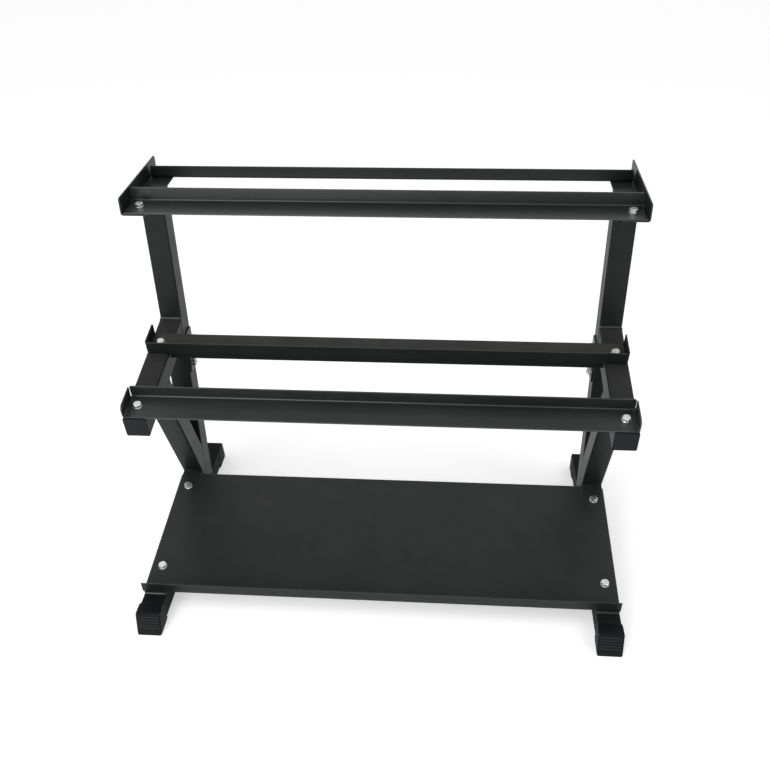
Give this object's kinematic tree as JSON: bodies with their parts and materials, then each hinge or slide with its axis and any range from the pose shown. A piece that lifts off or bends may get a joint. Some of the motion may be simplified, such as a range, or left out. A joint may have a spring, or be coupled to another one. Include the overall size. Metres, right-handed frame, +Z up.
{
  "type": "dumbbell rack",
  "caption": "Free-standing rack with two tiers of folded angle rails and a sloping sheet shelf, carried by side frames of square steel tube on rubber boots.",
  "frame": {"origin": "on the floor, midway between the side frames and midway along their base tubes", "axes": "+X along the rails to the right end, +Y from the open front to the back, +Z up"},
  "size_m": [1.1088, 0.67, 0.908],
  "materials": {
    "frame_coat": "satin black powder coat on tube",
    "sheet_coat": "satin black powder coat on folded sheet",
    "foot_rubber": "matt moulded rubber",
    "plug_plastic": "matt moulded plastic",
    "zinc": "bright zinc plate"
  },
  "bodies": {
    "root": {"base_tube_left": "frame_coat", "base_tube_right": "frame_coat", "foot_front_left": "foot_rubber", "foot_front_right": "foot_rubber", "foot_rear_left": "foot_rubber", "foot_rear_right": "foot_rubber", "lower_post_left": "frame_coat", "lower_post_right": "frame_coat", "upper_post_left": "frame_coat", "upper_post_right": "frame_coat", "arm_left": "frame_coat", "arm_right": "frame_coat", "arm_plug_left": "plug_plastic", "arm_plug_right": "plug_plastic", "brace_left": "frame_coat", "brace_right": "frame_coat", "splice_plate_left": "sheet_coat", "splice_plate_right": "sheet_coat", "top_bracket_left": "sheet_coat", "top_bracket_right": "sheet_coat", "top_front_rail": "sheet_coat", "top_rear_rail": "sheet_coat", "mid_front_rail": "sheet_coat", "mid_rear_rail": "sheet_coat", "mid_rear_stiffener": "sheet_coat", "shelf": "sheet_coat", "shelf_bearer_left": "sheet_coat", "shelf_bearer_right": "sheet_coat", "top_rail_bolts": "zinc", "top_rail_washers": "zinc", "top_rail_nuts": "zinc", "mid_rail_bolts": "zinc", "mid_rail_washers": "zinc", "mid_rail_nuts": "zinc", "shelf_bolts": "zinc", "shelf_washers": "zinc", "shelf_nuts": "zinc", "splice_bolts": "zinc", "splice_washers": "zinc", "splice_nuts": "zinc"}
  },
  "joints": []
}
